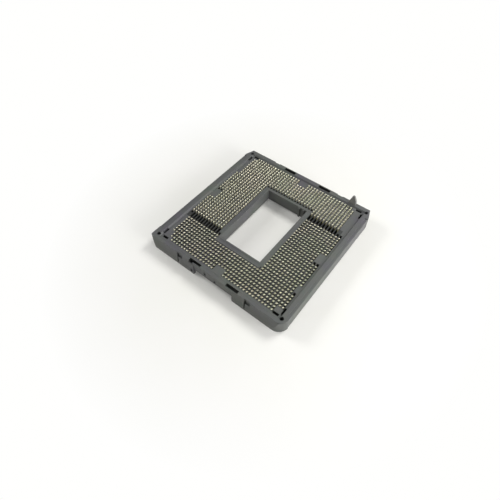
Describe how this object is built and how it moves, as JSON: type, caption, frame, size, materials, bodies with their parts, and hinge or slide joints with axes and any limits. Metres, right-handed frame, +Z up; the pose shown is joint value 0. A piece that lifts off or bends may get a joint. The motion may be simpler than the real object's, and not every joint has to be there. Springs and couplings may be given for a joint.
{
  "type": "ic socket",
  "caption": "Flat square land-grid socket body with an open centre window, a field of leaning spring contacts and solder balls underneath.",
  "frame": {"origin": "on the board, under the middle of the contact field and of the body", "axes": "+X along the front wall to the right, +Y to the back wall that carries the fin, +Z up from the board"},
  "size_m": [0.0422, 0.0426, 0.0071],
  "materials": {
    "housing_plastic": "matte",
    "contact_metal": "satin",
    "solder": "satin"
  },
  "bodies": {
    "root": {"housing": "housing_plastic", "contacts_row_A": "contact_metal", "contacts_row_B": "contact_metal", "contacts_row_C": "contact_metal", "contacts_row_D": "contact_metal", "contacts_row_E": "contact_metal", "contacts_row_F": "contact_metal", "contacts_row_G": "contact_metal", "contacts_row_H": "contact_metal", "contacts_row_J": "contact_metal", "contacts_row_K": "contact_metal", "contacts_row_L": "contact_metal", "contacts_row_M": "contact_metal", "contacts_row_N": "contact_metal", "contacts_row_P": "contact_metal", "contacts_row_R": "contact_metal", "contacts_row_T": "contact_metal", "contacts_row_U": "contact_metal", "contacts_row_V": "contact_metal", "contacts_row_W": "contact_metal", "contacts_row_Y": "contact_metal", "contacts_row_AA": "contact_metal", "contacts_row_AB": "contact_metal", "contacts_row_AC": "contact_metal", "contacts_row_AD": "contact_metal", "contacts_row_AE": "contact_metal", "contacts_row_AF": "contact_metal", "contacts_row_AG": "contact_metal", "contacts_row_AH": "contact_metal", "contacts_row_AJ": "contact_metal", "contacts_row_AK": "contact_metal", "contacts_row_AL": "contact_metal", "contacts_row_AM": "contact_metal", "contacts_row_AN": "contact_metal", "contacts_row_AP": "contact_metal", "contacts_row_AR": "contact_metal", "contacts_row_AT": "contact_metal", "contacts_row_AU": "contact_metal", "contacts_row_AV": "contact_metal", "contacts_row_AW": "contact_metal", "contacts_row_AY": "contact_metal", "solder_balls_1": "solder", "solder_balls_2": "solder", "solder_balls_3": "solder", "solder_balls_4": "solder", "solder_balls_5": "solder", "solder_balls_6": "solder", "solder_balls_7": "solder", "solder_balls_8": "solder", "solder_balls_9": "solder", "solder_balls_10": "solder"}
  },
  "joints": []
}
